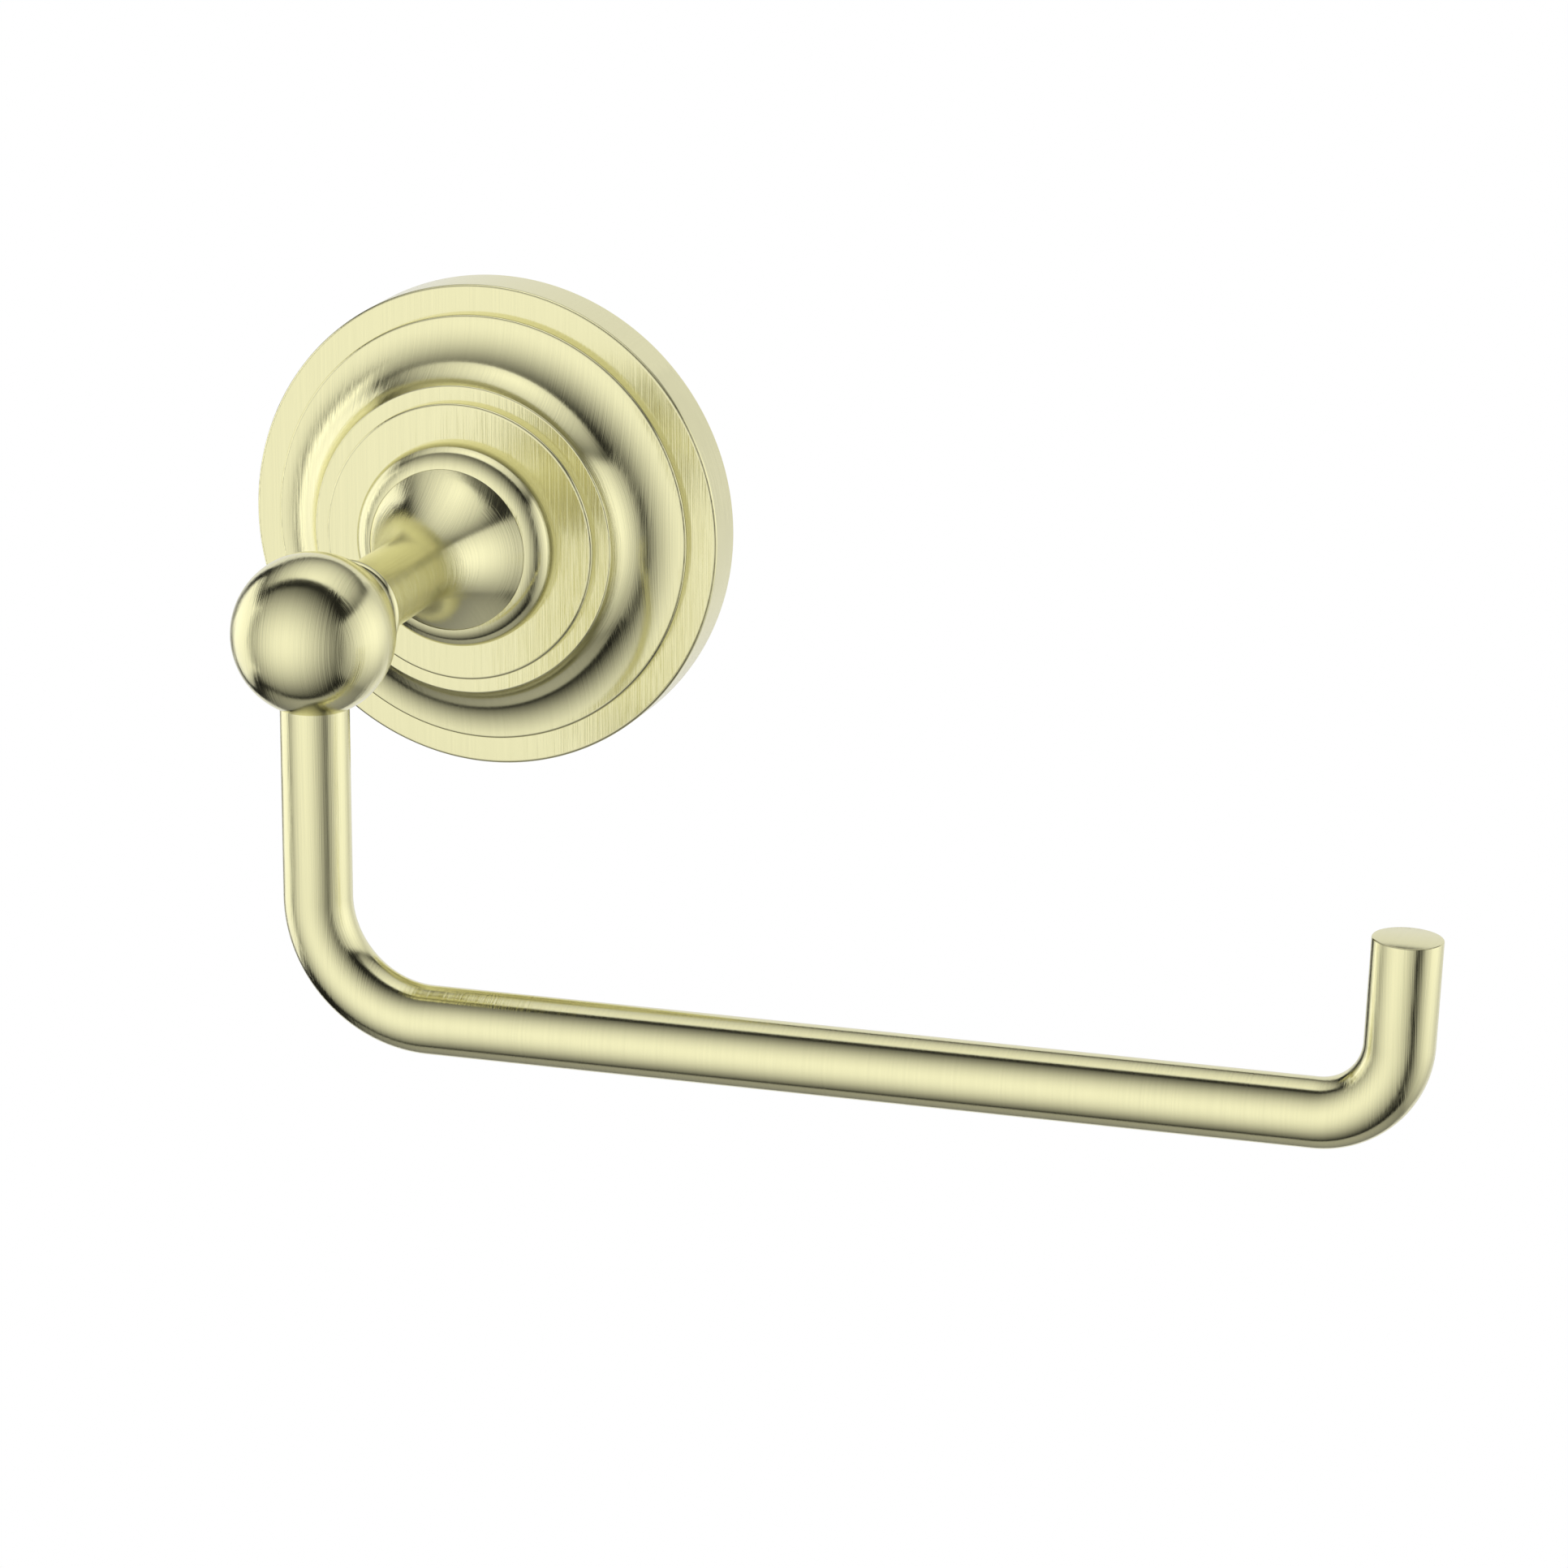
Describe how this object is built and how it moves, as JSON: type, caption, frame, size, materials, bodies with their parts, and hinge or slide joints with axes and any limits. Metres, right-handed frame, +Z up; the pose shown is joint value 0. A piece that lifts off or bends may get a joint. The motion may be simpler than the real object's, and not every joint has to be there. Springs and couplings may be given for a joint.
{
  "type": "toilet paper holder",
  "caption": "Wall-mounted single-post toilet paper holder: stepped round flange, flared post, ball and an open J-shaped rod arm with an upturned tip.",
  "frame": {"origin": "on the flange's axis in the plane of the wall, midway between the bracket's two screw holes", "axes": "+Z up; +Y into the wall, so the holder stands out towards -Y; +X along the level rod, from the ball to the upturned tip"},
  "size_m": [0.2027, 0.0878, 0.0981],
  "materials": {
    "satin_brass": "pale brass, finely brushed and satin",
    "bracket_zinc": "plain cast zinc, matt",
    "screw_steel": "zinc-plated steel"
  },
  "bodies": {
    "root": {"flange": "satin_brass", "base_ring": "satin_brass", "post": "satin_brass", "neck_ring": "satin_brass", "ball": "satin_brass", "arm": "satin_brass", "wall_bracket": "bracket_zinc", "flange_grub_screw": "screw_steel", "post_screw": "screw_steel", "post_washer": "screw_steel", "post_lock_washer": "screw_steel", "ball_stud": "screw_steel"}
  },
  "joints": []
}
